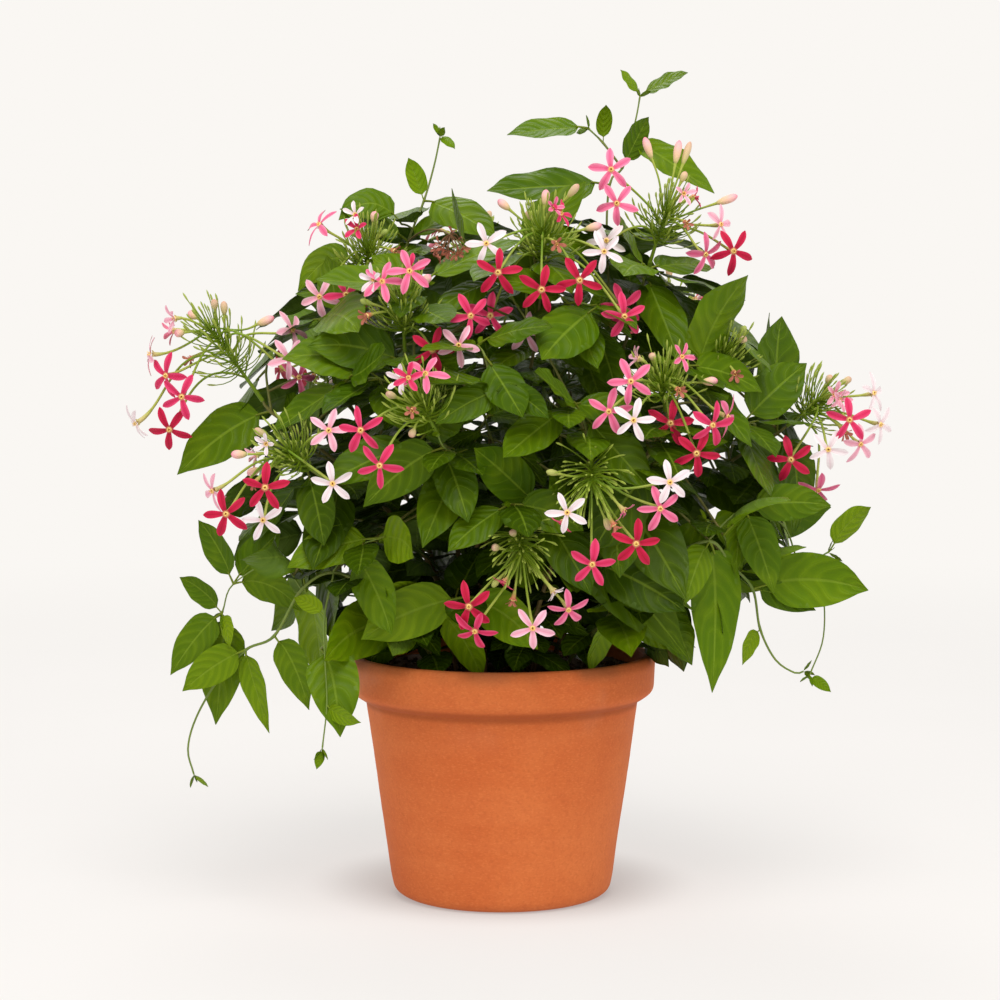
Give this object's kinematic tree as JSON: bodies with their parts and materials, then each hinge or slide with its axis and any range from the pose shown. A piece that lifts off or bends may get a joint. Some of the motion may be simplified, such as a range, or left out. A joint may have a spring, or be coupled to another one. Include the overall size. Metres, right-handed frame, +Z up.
{
  "type": "potted flowering creeper",
  "caption": "Bushy potted creeper with opposite leaves, heads of slender tubes with white, pink and crimson star flowers, and trailing shoots, in a round tapered clay pot with a thick collar.",
  "frame": {"origin": "middle of the pot's underside, on the surface that it stands on", "axes": "+Z up along the pot's axis, +X to the right and -Y towards the viewer of the picture"},
  "size_m": [0.6096, 0.4285, 0.671],
  "materials": {
    "clay": "matt unglazed terracotta",
    "soil": "matt crumbly potting soil",
    "leaf": "satin leaves on green and brown stems",
    "flower": "soft matt petals on slender green tubes"
  },
  "bodies": {
    "root": {"pot": "clay", "soil": "soil", "head_left_top": "flower", "head_left_mid": "flower", "head_upper_left": "flower", "head_mid_left": "flower", "head_centre_left": "flower", "head_crown": "flower", "head_upper_right": "flower", "head_right_mid": "flower", "head_right": "flower", "head_front_right": "flower", "head_front_low": "flower", "head_small_right": "flower", "head_back_left": "flower", "head_back_crown": "flower", "head_back_right": "flower", "head_back_low": "flower", "cane_left": "leaf", "cane_upper_left": "leaf", "cane_mid_left": "leaf", "cane_crown": "leaf", "cane_upper_right": "leaf", "cane_right_mid": "leaf", "cane_right": "leaf", "cane_front_right": "leaf", "cane_low_left": "leaf", "cane_low_right": "leaf", "cane_back_left": "leaf", "cane_back_crown": "leaf", "cane_back_right": "leaf", "cane_back_low": "leaf"}
  },
  "joints": []
}
